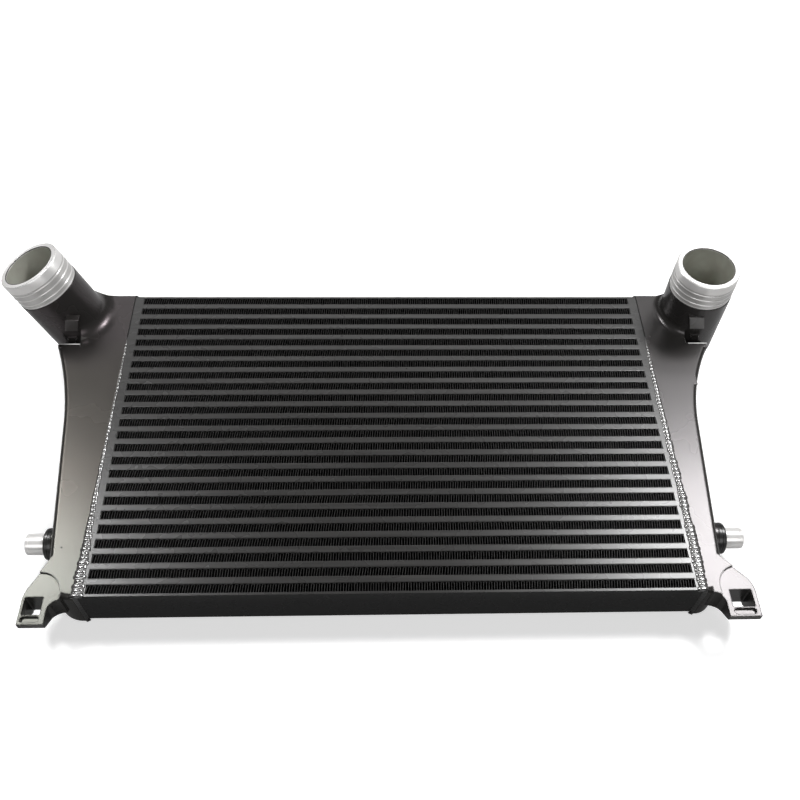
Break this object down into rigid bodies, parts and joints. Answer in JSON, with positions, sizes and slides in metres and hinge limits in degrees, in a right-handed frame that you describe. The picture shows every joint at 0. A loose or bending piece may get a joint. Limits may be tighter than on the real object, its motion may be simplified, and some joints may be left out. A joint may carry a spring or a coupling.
{
  "type": "intercooler",
  "caption": "Bar-and-plate charge air cooler core between two cast end tanks, each with an angled hose neck, a locating peg and a slotted mounting foot.",
  "frame": {"origin": "middle of the back face of the core, on the back bar of the middle charge tube", "axes": "+X across the core towards the right tank, +Y up the core towards the hose necks, +Z out of the front face of the core"},
  "size_m": [0.8573, 0.435, 0.1484],
  "materials": {
    "tank_coat": "satin black powder coat on cast aluminium",
    "weld_coat": "satin black coat over a weld bead",
    "core_coat": "satin black coat on extruded aluminium bar",
    "fin_coat": "thin matt black coat on aluminium fin sheet",
    "rubber": "smooth black moulded rubber",
    "bright_aluminium": "turned, bright"
  },
  "bodies": {
    "root": {"left_end_tank": "tank_coat", "left_weld_bead": "weld_coat", "left_peg_collar": "rubber", "left_locating_peg": "bright_aluminium", "right_end_tank": "tank_coat", "right_weld_bead": "weld_coat", "right_peg_collar": "rubber", "right_locating_peg": "bright_aluminium", "charge_tube_01": "core_coat", "charge_tube_02": "core_coat", "charge_tube_03": "core_coat", "charge_tube_04": "core_coat", "charge_tube_05": "core_coat", "charge_tube_06": "core_coat", "charge_tube_07": "core_coat", "charge_tube_08": "core_coat", "charge_tube_09": "core_coat", "charge_tube_10": "core_coat", "charge_tube_11": "core_coat", "charge_tube_12": "core_coat", "charge_tube_13": "core_coat", "charge_tube_14": "core_coat", "charge_tube_15": "core_coat", "charge_tube_16": "core_coat", "charge_tube_17": "core_coat", "charge_tube_18": "core_coat", "charge_tube_19": "core_coat", "charge_tube_20": "core_coat", "charge_tube_21": "core_coat", "charge_tube_22": "core_coat", "charge_tube_23": "core_coat", "air_fin_row_01": "fin_coat", "air_fin_row_02": "fin_coat", "air_fin_row_03": "fin_coat", "air_fin_row_04": "fin_coat", "air_fin_row_05": "fin_coat", "air_fin_row_06": "fin_coat", "air_fin_row_07": "fin_coat", "air_fin_row_08": "fin_coat", "air_fin_row_09": "fin_coat", "air_fin_row_10": "fin_coat", "air_fin_row_11": "fin_coat", "air_fin_row_12": "fin_coat", "air_fin_row_13": "fin_coat", "air_fin_row_14": "fin_coat", "air_fin_row_15": "fin_coat", "air_fin_row_16": "fin_coat", "air_fin_row_17": "fin_coat", "air_fin_row_18": "fin_coat", "air_fin_row_19": "fin_coat", "air_fin_row_20": "fin_coat", "air_fin_row_21": "fin_coat", "air_fin_row_22": "fin_coat", "air_fin_row_23": "fin_coat", "air_fin_row_24": "fin_coat", "bottom_side_plate": "core_coat", "top_side_plate": "core_coat"}
  },
  "joints": []
}
